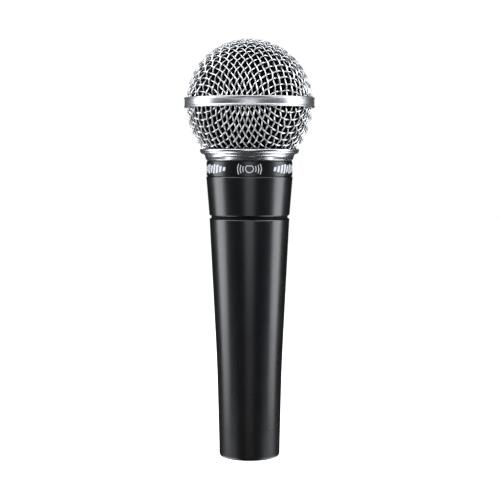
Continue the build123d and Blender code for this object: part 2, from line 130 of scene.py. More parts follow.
# --------------------------------------------------------------------------- finishes
class Pattern(Enum):
    """The kinds of relief that a surface's making leaves on it."""

    GRAIN = "cast, moulded or sprayed: even fine grain"
    TURNED = "turned or spun: fine rings about the axis"
    WOVEN = "woven cloth: threads over and under"
    SHEETS = "a stack of sheets seen on edge"
    WOUND = "wire wound in level turns"
    CELLS = "open-celled foam"


@dataclass(frozen=True)
class Finish:
    """One surface of the microphone: what it is, how it shines and how it was made.

    Attributes:
        name: The material's own name.
        colour: Its main colour, sRGB hex.
        shade: The colour it drifts to in soft patches, and that the relief's hollows take; where it is the
            darker colour, the hollows are painted shade.
        roughness: Its mean roughness.
        metallic: One for bare metal, nought for the rest.
        spread: How far the roughness wanders each way.
        patch: Width of the colour's soft patches, mm.
        pitch: Spacing of the pattern, mm.
        relief: Height of the pattern, mm.
        pattern: The kind of relief.
        sheen: Weight of the fibres' sheen, for cloth and foam.
        coat: Weight of a clear coat.
        through: How much light the body of the material scatters inside.
        specular: The shader's specular level; low for surfaces that hide their gloss.
        brushed: Weight of the stretched highlight that rings round the axis give.
    """

    name: str
    colour: str
    shade: str
    roughness: float
    metallic: float = 0.0
    spread: float = 0.05
    patch: float = 6.0
    pitch: float = 0.5
    relief: float = 0.01
    pattern: Pattern = Pattern.GRAIN
    sheen: float = 0.0
    coat: float = 0.0
    through: float = 0.0
    specular: float = 0.5
    brushed: float = 0.0

    def make(self) -> bpy.types.Material:
        """Builds the material, or returns the one already built."""
        found = bpy.data.materials.get(self.name)
        if found:
            return found
        material = bpy.data.materials.new(self.name)
        tree = blank_tree(material)
        place = add(tree, "ShaderNodeTexCoord").outputs["Object"]
        height = self._pattern(tree, place)
        patches = add(
            tree, "ShaderNodeTexNoise", {"Vector": place, "Scale": 1.0 / (self.patch * MM), "Detail": 3.0}
        )
        colours = {0: self._drift_and_hollow_shade(tree, patches, height), 6: linear(self.colour), 7: linear(self.shade)}
        low, high = self.roughness - self.spread, self.roughness + self.spread
        shader = add(
            tree,
            "ShaderNodeBsdfPrincipled",
            {
                "Base Color": add(tree, "ShaderNodeMix", colours, data_type="RGBA").outputs[2],
                "Roughness": add(tree, "ShaderNodeMapRange", {0: patches, 1: 0.3, 2: 0.7, 3: low, 4: high}),
                "Normal": add(
                    tree, "ShaderNodeBump", {"Height": height, "Strength": 1.0, "Distance": self.relief * MM}
                ),
                "Metallic": self.metallic,
                "Sheen Weight": self.sheen,
                "Coat Weight": self.coat,
                "Subsurface Weight": self.through,
                "Subsurface Scale": 1.5 * MM,
                "Specular IOR Level": self.specular,
                "Anisotropic": self.brushed,
            },
        )
        if self.brushed:
            rings = add(tree, "ShaderNodeTangent", direction_type="RADIAL", axis="Z")
            tree.links.new(rings.outputs[0], shader.inputs["Tangent"])
        add(tree, "ShaderNodeOutputMaterial", {"Surface": shader})
        return material

    def _pattern(self, tree: bpy.types.NodeTree, place: bpy.types.NodeSocket) -> Value:
        """Adds the nodes of the relief.

        Args:
            tree: The material's tree.
            place: The surface's place on the object, in metres.

        Returns:
            The height of the relief, from nought to one.
        """
        per_metre = 1.0 / (self.pitch * MM)
        if self.pattern is Pattern.CELLS:
            return add(tree, "ShaderNodeTexVoronoi", {"Vector": place, "Scale": per_metre})
        if self.pattern is Pattern.TURNED:
            return self._turned(tree, place, per_metre)
        if self.pattern is Pattern.GRAIN:
            return add(tree, "ShaderNodeTexNoise", {"Vector": place, "Scale": per_metre, "Detail": 4.0})
        across = {Pattern.SHEETS: "Y", Pattern.WOUND: "Z", Pattern.WOVEN: "XY"}[self.pattern]
        run = {"Vector": place, "Scale": per_metre / WAVE_RATE * FULL_TURN}
        waves = [add(tree, "ShaderNodeTexWave", run, bands_direction=axis).outputs["Fac"] for axis in across]
        if len(waves) == 1:
            return waves[0]
        return add(tree, "ShaderNodeMath", dict(enumerate(waves)), operation="MAXIMUM")

    @staticmethod
    def _turned(tree: bpy.types.NodeTree, place: bpy.types.NodeSocket, per_metre: float) -> Value:
        """Rings about the axis: noise that is fine along height and radius and slow round them."""
        slope, slow = 0.73, 0.02  # the share of the radius in the rings, and of the way round them
        x, y, z = add(tree, "ShaderNodeSeparateXYZ", {0: place}).outputs
        squares = [add(tree, "ShaderNodeMath", {0: axis, 1: axis}, operation="MULTIPLY") for axis in (x, y)]
        total = add(tree, "ShaderNodeMath", dict(enumerate(squares)))
        radius = add(tree, "ShaderNodeMath", {0: total, 1: 0.5}, operation="POWER")
        along = add(tree, "ShaderNodeMath", {0: radius, 1: slope, 2: z}, operation="MULTIPLY_ADD")
        drifts = [add(tree, "ShaderNodeMath", {0: axis, 1: slow}, operation="MULTIPLY") for axis in (x, y)]
        spun = add(tree, "ShaderNodeCombineXYZ", dict(enumerate([*drifts, along])))
        return add(tree, "ShaderNodeTexNoise", {"Vector": spun, "Scale": per_metre, "Detail": 3.0})

    def _drift_and_hollow_shade(self, tree: bpy.types.NodeTree, patch: Value, height: Value) -> Value:
        """How far each point drifts to the second colour: by patch, and by depth in a strong pattern, which
        is painted shade in the hollows where that colour is the darker.
        """
        share = 0.15 if self.pattern in (Pattern.GRAIN, Pattern.TURNED) else 0.7
        # painted shade: the relief's hollows drift to the second colour, the darker one in most finishes
        deep = add(tree, "ShaderNodeMath", {0: 1.0, 1: height}, operation="SUBTRACT")
        hollow_shade = add(tree, "ShaderNodeMath", {0: deep, 1: share}, operation="MULTIPLY")
        total = {0: patch, 1: 1.0 - share, 2: hollow_shade}
        return add(tree, "ShaderNodeMath", total, operation="MULTIPLY_ADD", use_clamp=True)


# Stoved satin enamel on zinc die castings: deep charcoal, with a faint orange peel that
# softens the edges of the lights in it.
BODY_ENAMEL = Finish(
    "satin_stoving_enamel", "#030304", "#050506", 0.28, spread=0.01, patch=9.0, pitch=0.9, relief=0.002,
    specular=0.8,
)
# Anodised aluminium band, dyed black: flatter and a little bluer than the enamel.
LABEL_BLACK = Finish(
    "black_anodised_aluminium", "#060708", "#08090b", 0.28, spread=0.03, patch=5.0, relief=0.004
)
# Silver screen-printing ink: flakes in a clear binder, so half metal and rough.
PRINT_SILVER = Finish("silver_printing_ink", "#cccdd1", "#acafb4", 0.5, metallic=0.1, patch=1.2, pitch=0.2)
# Drawn steel wire, nickel plated after weaving: bright, with duller patches.
WIRE_NICKEL = Finish(
    "nickel_plated_steel_wire", "#d4d4d3", "#b4b5b6", 0.28, metallic=1.0, spread=0.06, patch=2.2, pitch=0.35,
    relief=0.012,
)
# Satin nickel on a rolled steel band: fine rings from the rolls.
BAND_NICKEL = Finish(
    "satin_nickel_band", "#c8c8ca", "#b4b5b7", 0.31, metallic=1.0, spread=0.03, patch=7.0, pitch=0.35,
    relief=0.001, pattern=Pattern.TURNED, brushed=0.2,
)
# Bright nickel on a turned collar: nearly a mirror, drawn up and down by the lathe's faintest rings.
COLLAR_NICKEL = Finish(
    "bright_nickel_collar", "#c6c7c9", "#b9babc", 0.25, metallic=1.0, spread=0.01, patch=9.0, pitch=0.3,
    relief=0.0001, pattern=Pattern.TURNED, brushed=0.4,
)
# Cold-rolled steel under thin nickel, out of sight inside the grille.
PLAIN_STEEL = Finish(
    "cold_rolled_steel", "#a9aaac", "#8f9193", 0.38, metallic=1.0, patch=3.0, pattern=Pattern.TURNED
)
# Moulded nitrile washer: dull black with a soft bloom.
WASHER_RUBBER = Finish(
    "nitrile_rubber", "#040405", "#08080a", 0.8, patch=3.0, pitch=0.25, relief=0.01, specular=0.15
)
# Blackened steel shim: oiled black oxide, a little brown where it wears.
SHIM_BLACK = Finish(
    "black_oxide_steel", "#060606", "#0e0d0d", 0.55, patch=2.0, specular=0.3, pattern=Pattern.TURNED
)
# Reticulated polyurethane foam: black open cells that swallow light, its colour set darker still as painted
# shade for the grille's dark inside. Real cells are near 0.5 mm and are drawn at 0.7 mm, so that they show.
FOAM = Finish(
    "open_cell_polyurethane_foam", "#050505", "#010101", 0.95, patch=4.0, pitch=0.7, relief=0.35,
    pattern=Pattern.CELLS, specular=0.08,
)
# Glass-filled nylon moulding: black, slightly speckled by the fibres.
INSERT_NYLON = Finish("glass_filled_nylon", "#161617", "#202022", 0.55, patch=1.0, pitch=0.2, relief=0.01)
# Silver plate on brass pins: warm white metal with faint draw lines.
PIN_SILVER = Finish(
    "silver_plated_brass", "#e3dfd5", "#cfc9bb", 0.18, metallic=1.0, patch=2.0, pitch=0.3, relief=0.003,
    pattern=Pattern.TURNED,
)
# Half-hard brass, unplated: warm, with brown specks of tarnish.
BARE_BRASS = Finish("half_hard_brass", "#cba552", "#a98038", 0.3, metallic=1.0, patch=1.5, pitch=0.2)
# Slotted grub screw in blackened steel.
SCREW_STEEL = Finish("blackened_screw_steel", "#2a2a2c", "#3b3a39", 0.4, metallic=0.9, patch=1.0, pitch=0.25)
# Silicon-steel laminations, varnished: real sheets are 0.35 mm and are drawn at 0.5 mm.
CORE_STEEL = Finish(
    "varnished_silicon_steel", "#77787b", "#2e2a26", 0.42, metallic=0.8, patch=4.0, pitch=0.5, relief=0.04,
    pattern=Pattern.SHEETS,
)
# Natural nylon bobbin: milky and slightly see-through.
BOBBIN_NYLON = Finish("natural_nylon", "#d8d0b8", "#c6bc9e", 0.45, patch=3.0, pitch=0.4, through=0.3)
# Enamelled copper wire: real turns are 0.1 mm and are drawn at 0.3 mm to show as wire.
COPPER_WINDING = Finish(
    "enamelled_copper_wire", "#b8643a", "#5a2412", 0.28, metallic=0.9, patch=2.0, pitch=0.3, relief=0.06,
    pattern=Pattern.WOUND, coat=0.4,
)
# Rosin and beeswax potting: amber, uneven where it set.
POTTING_WAX = Finish(
    "rosin_and_beeswax", "#8a6528", "#6a4817", 0.35, patch=5.0, pitch=2.5, relief=0.12, through=0.25
)
# PVC lead sheaths: smooth and a little glossy.
LEAD_COLOURS: dict[str, Finish] = {
    name: Finish(f"pvc_sheath_{name}", main, dark, 0.38, patch=3.0, pitch=0.6, relief=0.01, coat=0.15)
    for name, main, dark in (
        ("red", "#b3211c", "#8e1713"),
        ("black", "#19191a", "#0f0f10"),
        ("yellow", "#dcb41f", "#b58f12"),
        ("green", "#1f7a3c", "#15592b"),
    )
}
# ABS mouldings of the capsule: black, spark-eroded texture.
CAPSULE_ABS = Finish("spark_textured_abs", "#19191b", "#222225", 0.5, patch=3.0, pitch=0.3, relief=0.02)
# Grey ABS of the rear chamber, from a smoother mould.
CHAMBER_ABS = Finish("grey_abs", "#33353a", "#2a2b30", 0.45, patch=4.0, pitch=0.35, relief=0.015)
# Turned aluminium: bright rings, clear anodised.
RING_ALUMINIUM = Finish(
    "turned_aluminium", "#cfd0d2", "#b4b6b9", 0.27, metallic=1.0, patch=3.0, pitch=0.25, relief=0.006,
    pattern=Pattern.TURNED,
)
# Silk screen cloth: real threads are 0.1 mm apart and are drawn at 0.45 mm.
SCREEN_CLOTH = Finish(
    "silk_screen_cloth", "#4a4a45", "#191917", 0.8, patch=2.0, pitch=0.45, relief=0.08, pattern=Pattern.WOVEN,
    sheen=0.3,
)
# Wool felt disc: matted fibres.
FELT = Finish("wool_felt", "#d4d0c4", "#b9b4a5", 0.95, patch=1.2, pitch=0.25, relief=0.12, sheen=0.5)
# Zinc-plated soft iron, passivated: pale yellow cast over turned rings.
POLE_IRON = Finish(
    "passivated_soft_iron", "#bdb795", "#a39c79", 0.34, metallic=1.0, patch=3.0, pitch=0.3, relief=0.006,
    pattern=Pattern.TURNED,
)
# Sintered ferrite magnet: dark grey with a fine crystalline grain.
MAGNET_FERRITE = Finish(
    "sintered_ferrite", "#4a4b4e", "#38393c", 0.46, metallic=0.4, patch=1.5, pitch=0.3, relief=0.02
)
# White acetal rings: waxy, and a little light gets into them.
SEAT_ACETAL = Finish(
    "white_acetal", "#ddd9cd", "#cdc8b8", 0.4, patch=3.0, pitch=0.4, relief=0.008, through=0.2
)
# Polyester film: glossy and faintly straw-coloured, with the press's fine corrugations.
FILM = Finish(
    "polyester_film", "#cfc6a8", "#b5ab8b", 0.14, patch=2.0, pitch=0.4, relief=0.02, pattern=Pattern.TURNED,
    coat=0.5,
)
# Glass cloth in green epoxy: the cloth's weave shows through a clear skin.
BOARD_GLASS = Finish(
    "glass_epoxy_board", "#23663a", "#184a2a", 0.35, patch=2.0, pitch=0.4, relief=0.02, pattern=Pattern.WOVEN,
    coat=0.3,
)
# Butyl rubber of the mount: charcoal, satin, faintly mottled.
MOUNT_RUBBER = Finish("butyl_rubber", "#1b1b1d", "#262628", 0.62, patch=3.0, pitch=0.3, relief=0.015)


# --------------------------------------------------------------------------- meshes
def new_object(
    name: str,
    points: Sequence[Sequence[float]],
    edges: Sequence[tuple[int, int]] = (),
    faces: Sequence[Sequence[int]] = (),
) -> bpy.types.Object:
    """Makes a mesh object at the origin and links it to the scene.

    Args:
        name: The object's name.
        points: Its vertices, in metres.
        edges: Its loose edges.
        faces: Its faces.

    Returns:
        The new object.
    """
    mesh = bpy.data.meshes.new(name)
    mesh.from_pydata([tuple(p) for p in points], list(edges), [tuple(f) for f in faces])
    mesh.update()
    made = bpy.data.objects.new(name, mesh)
    bpy.context.scene.collection.objects.link(made)
    return made


def tidy_shell(made: bpy.types.Object, merge: float = MERGE, smooth: bool = True) -> None:
    """Merges doubled vertices, points every face outwards and sets the shading."""
    shell = bmesh.new()
    shell.from_mesh(made.data)
    bmesh.ops.remove_doubles(shell, verts=shell.verts, dist=merge)
    bmesh.ops.dissolve_degenerate(shell, edges=shell.edges, dist=merge)
    bmesh.ops.recalc_face_normals(shell, faces=shell.faces)
    for face in shell.faces:
        face.smooth = smooth
    shell.to_mesh(made.data)
    shell.free()


def dress(made: bpy.types.Object, finish: Finish) -> None:
    """Makes a finish the object's only material."""
    made.data.materials.clear()
    made.data.materials.append(finish.make())


def lathe(name: str, profile: Sequence[Point], segments: int, finish: Finish) -> bpy.types.Object:
    """Turns a closed profile about the Z axis.

    Args:
        name: The object's name.
        profile: Points of (radius, height) in mm, round the section.
        segments: How many steps make the turn.
        finish: What the piece wears.

    Returns:
        A closed mesh object.
    """
    section = [(radius * MM, height * MM) for radius, height in profile]
    points = [
        (radius * math.cos(k * FULL_TURN / segments), radius * math.sin(k * FULL_TURN / segments), height)
        for k in range(segments)
        for radius, height in section
    ]
    count = len(section)
    faces = [
        (k * count + i, k * count + j, nxt * count + j, nxt * count + i)
        for k in range(segments)
        for nxt in [(k + 1) % segments]
        for i in range(count)
        for j in [(i + 1) % count]
    ]
    made = new_object(name, points, faces=faces)
    tidy_shell(made)
    dress(made, finish)
    return made


def copy_node(
    node: str, name: str, finish: Finish, change: Callable[[bmesh.types.BMesh], None] = lambda shell: None
) -> bpy.types.Object:
    """Makes a piece of a CAD node's own shape, so that it can be changed or ride elsewhere, and hides the
    node.

    Args:
        node: The CAD node it stands for.
        name: The piece's name.
        finish: What it wears.
        change: What is done to the shape, such as a trimmed end.

    Returns:
        The new piece, not yet riding anything.
    """
    made = new_object(name, ())
    shell = bmesh.new()
    shell.from_mesh(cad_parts[node].data)
    bmesh.ops.remove_doubles(shell, verts=shell.verts, dist=MERGE)
    change(shell)
    shell.to_mesh(made.data)
    shell.free()
    tidy_shell(made)
    dress(made, finish)
    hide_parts(node)
    return made


def bake_modifier(made: bpy.types.Object) -> None:
    """Turns an object's evaluated geometry into its plain mesh and takes its modifiers off."""
    depsgraph = bpy.context.evaluated_depsgraph_get()
    mesh = bpy.data.meshes.new_from_object(made.evaluated_get(depsgraph))
    mesh.name = made.name
    made.modifiers.clear()
    made.data = mesh


class GeometryTree:
    """A Geometry Nodes tree with named inputs, and the modifier that runs it."""

    def __init__(self, name: str, inputs: Iterable[tuple[str, str]]) -> None:
        """Starts a tree.

        Args:
            name: The tree's name.
            inputs: Name and socket type of each input after the geometry.
        """
        self.tree = bpy.data.node_groups.new(name, "GeometryNodeTree")
        self.sockets: dict[str, str] = {}
        face = self.tree.interface
        face.new_socket(name="Geometry", in_out="INPUT", socket_type="NodeSocketGeometry")
        for label, kind in inputs:
            self.sockets[label] = face.new_socket(name=label, in_out="INPUT", socket_type=kind).identifier
        face.new_socket(name="Geometry", in_out="OUTPUT", socket_type="NodeSocketGeometry")
        self.source = add(self.tree, "NodeGroupInput").outputs

    def close(self, geometry: Value) -> None:
        """Ends the tree in Realize Instances and Set Material."""
        real = add(self.tree, "GeometryNodeRealizeInstances", {"Geometry": geometry})
        finish = {"Geometry": real, "Material": self.source["Finish"]}
        add(self.tree, "NodeGroupOutput", {0: add(self.tree, "GeometryNodeSetMaterial", finish)})

    def run(self, made: bpy.types.Object, values: dict[str, Value]) -> None:
        """Runs the tree on an object and keeps the result as its mesh.

        Args:
            made: The object that holds the starting geometry.
            values: Input name to value.
        """
        modifier = made.modifiers.new(self.tree.name, "NODES")
        modifier.node_group = self.tree
        for label, value in values.items():
            modifier[self.sockets[label]] = value
        bake_modifier(made)


# --------------------------------------------------------------------------- sub-assemblies
class SubAssembly:
    """A group of pieces that is built and dressed together.

    Attributes:
        title: What the log calls it.
        wears: Finish to the CAD nodes that wear it, their names parted by spaces.
    """

    title: ClassVar[str]
    wears: ClassVar[dict[Finish, str]] = {}

    def build(self) -> list[bpy.types.Object]:
        """Makes the pieces that the CAD frame only stands for, and returns them."""
        return []

    def assemble(self) -> None:
        """Dresses the CAD nodes, builds the rest, and reports each piece."""
        for finish, names in self.wears.items():
            for name in names.split():
                dress(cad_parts[name], finish)
            LOG.info("%s: %s dressed in %s", self.title, names, finish.name)
        for piece in self.build():
            LOG.info("%s: %s built, %d faces", self.title, piece.name, len(piece.data.polygons))


@dataclass
class WireCloth:
    """Plain-woven wire cloth, drawn over a round form without stretching its wires.

    The crossings are a net of equal rhombs on a ball: two great circles through the pole
    carry the first wires, and each further crossing mirrors the last one in the plane of
    its two neighbours.

    Attributes:
        name: The piece's name.
        node: The CAD shell it stands for.
        pole: +1 for a form closed at the top, -1 for one whose pole is below.
        straight_azimuth: Bearing of the wires that stay nearly straight, degrees.
        bent_azimuth: Bearing of the wires that do most of the bending, degrees.
        place: Gives the place and the outward direction on the form, from a unit vector.
        low: Height of the cloth's lower edge, mm.
        high: Height of its upper edge, mm.
        ball_radius: Radius that the crossings' spacing is worked out on, mm.
        wander: How far a crossing strays, as a share of the radius.
        reach: How far from the pole the net runs, as a share of half a turn.
        horizon: The net stops this far past the ball's widest level.
        steps: Points from one crossing to the next.
    """

    name: str
    node: str
    pole: int
    straight_azimuth: float
    bent_azimuth: float
    place: Callable[[Vector], tuple[Vector, Vector]]
    low: float
    high: float
    ball_radius: float
    spacing: float = 2.58
    wire: float = 0.63
    straight_crimp: float = 0.2
    bent_crimp: float = 0.42
    wander: float = 0.012
    reach: float = 0.62
    horizon: float = 0.3
    steps: int = 8
    sides: int = 8

    def crossings(self) -> dict[tuple[int, int], Vector]:
        """Unit vector of each crossing, by its number along the two first wires."""
        step = self.spacing / self.ball_radius
        pole = Vector((0.0, 0.0, float(self.pole)))
        reach = math.ceil(self.reach * math.pi / step)
        net: dict[tuple[int, int], Vector] = {(0, 0): pole}
        bearings = [math.radians(a) for a in (self.straight_azimuth, self.bent_azimuth)]
        for axis, bearing in enumerate(bearings):
            ahead = Vector((math.sin(bearing), -math.cos(bearing), 0.0))
            for k in range(-reach, reach + 1):
                net[(0, k) if axis else (k, 0)] = pole * math.cos(k * step) + ahead * math.sin(k * step)
        for along in (1, -1):
            for across in (1, -1):
                self._fill_quarter(net, along, across, reach)
        return {
            key: (spot + self.wander * noise.noise_vector(spot * 9.0)).normalized()
            for key, spot in net.items()
        }

    def _fill_quarter(self, net: dict[tuple[int, int], Vector], along: int, across: int, reach: int) -> None:
        """Fills one quarter of the net by mirroring, as far as it stays near the form."""
        for i in range(1, reach + 1):
            for j in range(1, reach + 1):
                corner = net.get((along * (i - 1), across * (j - 1)))
                left = net.get((along * i, across * (j - 1)))
                right = net.get((along * (i - 1), across * j))
                if corner is None or left is None or right is None:
                    continue
                across_plane = left.cross(right)
                if across_plane.length < 1e-4:
                    continue
                across_plane.normalize()
                spot = corner - 2.0 * corner.dot(across_plane) * across_plane
                if spot.z * self.pole > -self.horizon:
                    net[(along * i, across * j)] = spot

    def wires(self) -> Iterable[tuple[int, int, list[Vector]]]:
        """Each wire as its family (0 straight, 1 bent), its first beat and its crossings in order."""
        net = self.crossings()
        for family in (0, 1):
            lines: dict[int, list[tuple[int, Vector]]] = {}
            for key, spot in net.items():
                lines.setdefault(key[1 - family], []).append((key[family], spot))
            for number, line in sorted(lines.items()):
                line.sort()
                middle = [k for k, _ in line].index(0) if any(k == 0 for k, _ in line) else 0
                first = last = middle
                while first > 0 and line[first - 1][0] == line[first][0] - 1:
                    first -= 1
                while last < len(line) - 1 and line[last + 1][0] == line[last][0] + 1:
                    last += 1
                if last - first > 1:
                    yield family, line[first][0] + number + family, [s for _, s in line[first : last + 1]]

    def build(self) -> bpy.types.Object:
        """Lays the wires' centre lines and lets the tree bend them and give them thickness."""
        points, outward, beats, families, edges = [], [], [], [], []
        for family, first_beat, spots in self.wires():
            joined = False
            for beat, direction in self._sample(spots):
                place, away = self.place(direction)
                if not self.low * MM <= place.z <= self.high * MM:
                    joined = False
                    continue
                if joined:
                    edges.append((len(points) - 1, len(points)))
                joined = True
                points.append(place)
                outward.append(away)
                beats.append(first_beat + beat)
                families.append(float(family))
        made = new_object(self.name, points, edges=edges)
        for label, kind, slot, values in (
            ("beat", "FLOAT", "value", beats),
            ("bent", "FLOAT", "value", families),
            ("outward", "FLOAT_VECTOR", "vector", [c for v in outward for c in v]),
        ):
            made.data.attributes.new(label, kind, "POINT").data.foreach_set(slot, values)
        weave_tree().run(
            made,
            {
                "Wire Diameter": self.wire * MM,
                "Straight Crimp": self.straight_crimp * MM,
                "Bent Crimp": self.bent_crimp * MM,
                "Sides": self.sides,
                "Finish": WIRE_NICKEL.make(),
            },
        )
        return made

    def _sample(self, spots: Sequence[Vector]) -> Iterable[tuple[float, Vector]]:
        """Points along a smooth curve through the crossings, each with its beat."""
        for k in range(len(spots) - 1):
            before = spots[max(k - 1, 0)]
            start, end = spots[k], spots[k + 1]
            after = spots[min(k + 2, len(spots) - 1)]
            for step in range(self.steps):
                t = step / self.steps
                bend = 0.5 * (
                    2.0 * start
                    + (end - before) * t
                    + (2.0 * before - 5.0 * start + 4.0 * end - after) * t * t
                    + (3.0 * start - before - 3.0 * end + after) * t * t * t
                )
                yield k + t, bend.normalized()
        yield float(len(spots) - 1), spots[-1]


@cache
def weave_tree() -> GeometryTree:
    """The tree that crimps centre lines over and under each other and makes them wire."""
    kit = GeometryTree(
        "woven_wire",
        [
            ("Wire Diameter", "NodeSocketFloat"),
            ("Straight Crimp", "NodeSocketFloat"),
            ("Bent Crimp", "NodeSocketFloat"),
            ("Sides", "NodeSocketInt"),
            ("Finish", "NodeSocketMaterial"),
        ],
    )
    tree, source = kit.tree, kit.source
    beat, bent = (
        add(tree, "GeometryNodeInputNamedAttribute", {"Name": label}, data_type="FLOAT")
        for label in ("beat", "bent")
    )
    outward = add(tree, "GeometryNodeInputNamedAttribute", {"Name": "outward"}, data_type="FLOAT_VECTOR")
    turn = add(tree, "ShaderNodeMath", {0: beat, 1: math.pi}, operation="MULTIPLY")
    wave = add(tree, "ShaderNodeMath", {0: turn}, operation="COSINE")
    crimps = {0: bent, 2: source["Straight Crimp"], 3: source["Bent Crimp"]}
    depth = add(tree, "ShaderNodeMix", crimps, data_type="FLOAT")
    height = add(tree, "ShaderNodeMath", {0: wave, 1: depth}, operation="MULTIPLY")
    offset = add(tree, "ShaderNodeVectorMath", {0: outward, 3: height}, operation="SCALE")
    crimped = add(tree, "GeometryNodeSetPosition", {"Geometry": source["Geometry"], "Offset": offset})
    line = add(tree, "GeometryNodeMeshToCurve", {0: crimped})
    radius = add(tree, "ShaderNodeMath", {0: source["Wire Diameter"], 1: 0.5}, operation="MULTIPLY")
    ring = add(tree, "GeometryNodeCurvePrimitiveCircle", {"Resolution": source["Sides"], "Radius": radius})
    tube = add(tree, "GeometryNodeCurveToMesh", {"Curve": line, "Profile Curve": ring, "Fill Caps": True})
    kit.close(add(tree, "GeometryNodeSetShadeSmooth", {0: tube}))
    return kit


@dataclass
class BallGrille(SubAssembly):
    """The screw-on grille: two woven halves, the band that joins them and the collar."""

    title = "grille"
    wears = {COLLAR_NICKEL: "grille_collar", PLAIN_STEEL: "grille_inner_band basket_ring"}
    dome_radius: float = 24.5
    dome_centre: float = 137.5
    basket_radius: float = 26.5
    basket_axis: float = -2.1
    basket_level: float = 136.4
    wire: float = 0.63
    bent_crimp: float = 0.42
    lip: float = 0.42  # radius of the band's rolled edges
    waist: float = 0.255  # how far the band's face stands back from its lips
    crown: float = 0.07  # how far the face bulges between them

    @property
    def cloth_depth(self) -> float:
        """From the cloth's outer face to the middle of its weave, mm."""
        return self.bent_crimp + self.wire / 2.0

    def on_dome(self, direction: Vector) -> tuple[Vector, Vector]:
        """Place and outward direction on the upper half."""
        middle = Vector((0.0, 0.0, self.dome_centre * MM))
        return middle + direction * (self.dome_radius - self.cloth_depth) * MM, direction

    def on_basket(self, direction: Vector) -> tuple[Vector, Vector]:
        """Place and outward direction on the lower half, whose section is an arc off the axis."""
        flat = Vector((direction.x, direction.y, 0.0))
        ahead = flat.normalized() if flat.length > 1e-9 else Vector((1.0, 0.0, 0.0))
        away = ahead * flat.length + Vector((0.0, 0.0, direction.z))
        arc = self.basket_radius - self.cloth_depth
        spot = ahead * (self.basket_axis + arc * flat.length) * MM
        spot.z = (self.basket_level + arc * direction.z) * MM
        return spot, away

    def _band(self) -> bpy.types.Object:
        """Turns the outer band: a rolled lip along each edge and a faint crown between them."""
        corner, far = (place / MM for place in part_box("grille_band"))
        outer, level, half = far.x, (corner.z + far.z) / 2.0, (far.z - corner.z) / 2.0
        turns = [math.radians(a) for a in range(-90, 66, 12)]
        edge = [
            (outer - self.lip * (1.0 - math.cos(a)), self.lip * (1.0 + math.sin(a)) - half) for a in turns
        ]
        reach = half - 2.0 * self.lip
        face = [
            (outer - self.waist + self.crown * (1.0 - (k / 5.0) ** 2), reach * k / 5.0) for k in range(-5, 6)
        ]
        inner = self.dome_radius + 0.02
        section = [(inner, -half), *edge, *face, *((r, -z) for r, z in reversed(edge)), (inner, half)]
        made = lathe("outer_band", [(r, level + z) for r, z in section], 256, BAND_NICKEL)
        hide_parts("grille_band")
        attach(made, "grille")
        return made

    def build(self) -> list[bpy.types.Object]:
        """Weaves both halves, turns the band between them, and leaves the washer on the neck's shoulder."""
        gauge = {"wire": self.wire, "bent_crimp": self.bent_crimp}
        ball = self.dome_radius - self.cloth_depth
        dome = WireCloth(
            "dome_wire_cloth", "grille_dome", pole=1, straight_azimuth=36.0, bent_azimuth=-54.0,
            place=self.on_dome, low=137.7, high=170.0, ball_radius=ball, **gauge,
        )
        basket = WireCloth(
            "basket_wire_cloth", "grille_basket", pole=-1, straight_azimuth=-49.0, bent_azimuth=41.0,
            place=self.on_basket, low=118.9, high=137.3, ball_radius=25.0, **gauge,
        )
        washer = copy_node("collar_washer", "shoulder_washer", SHIM_BLACK)
        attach(washer, "neck")
        made = [self._band(), washer]
        for cloth in (dome, basket):
            piece = cloth.build()
            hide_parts(cloth.node)
            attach(piece, "grille")
            made.append(piece)
        return made


@dataclass
class FoamWindscreen(SubAssembly):
    """The two foam liners behind the wire cloth."""

    title = "windscreen"
    dome_radius: float = 23.0
    dome_centre: float = 137.5
    thickness: float = 2.1
    skirt_radius: float = 25.0
    skirt_axis: float = -2.1
    skirt_level: float = 136.4
    skirt_low: float = 119.75
    skirt_knee: float = 121.5
    skirt_foot_radius: float = 15.55
    segments: int = 96
    uneven: float = 0.12  # depth of the dents that cutting leaves
    dent_pitch: float = 2.3

    def _roughen(self, made: bpy.types.Object) -> None:
        """Makes the cut foam's surface slightly uneven, inwards only, so it stays in its space."""
        for vertex in made.data.vertices:
            dent = 0.5 + 0.5 * noise.noise(vertex.co / (self.dent_pitch * MM))
            vertex.co -= vertex.normal * dent * self.uneven * MM

    @staticmethod
    def _arc(axis: float, level: float, radius: float, start: float, end: float, count: int) -> list[Point]:
        """Points of an arc in the section, from one angle above the level to another, in mm."""
        angles = [start + (end - start) * k / count for k in range(count + 1)]
        return [(max(0.0, axis + radius * math.cos(a)), level + radius * math.sin(a)) for a in angles]

    def build(self) -> list[bpy.types.Object]:
        """Makes the cap and the skirt, each a closed shell of foam."""
        low_edge, quarter, gap = 0.003, math.pi / 2.0, 0.07
        cap_inner = self.dome_radius - self.thickness
        cap = self._arc(0.0, self.dome_centre, self.dome_radius, low_edge, quarter, 24)
        cap += self._arc(0.0, self.dome_centre, cap_inner, quarter, low_edge, 24)
        inner = self.skirt_radius - self.thickness
        low = math.asin((self.skirt_low - self.skirt_level) / self.skirt_radius)
        knee = math.asin((self.skirt_knee - self.skirt_level) / inner)
        top = math.asin((self.dome_centre - gap - self.skirt_level) / self.skirt_radius)
        skirt = self._arc(self.skirt_axis, self.skirt_level, self.skirt_radius, low, top, 20)
        skirt += self._arc(self.skirt_axis, self.skirt_level, inner, top, knee, 20)
        skirt.append((self.skirt_foot_radius, self.skirt_low))
        made = []
        for name, profile, node in (
            ("foam_cap", cap, "windscreen_dome"),
            ("foam_skirt", skirt, "windscreen_skirt"),
        ):
            piece = lathe(name, profile, self.segments, FOAM)
            self._roughen(piece)
            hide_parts(node)
            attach(piece, "windscreen")
            made.append(piece)
        return made


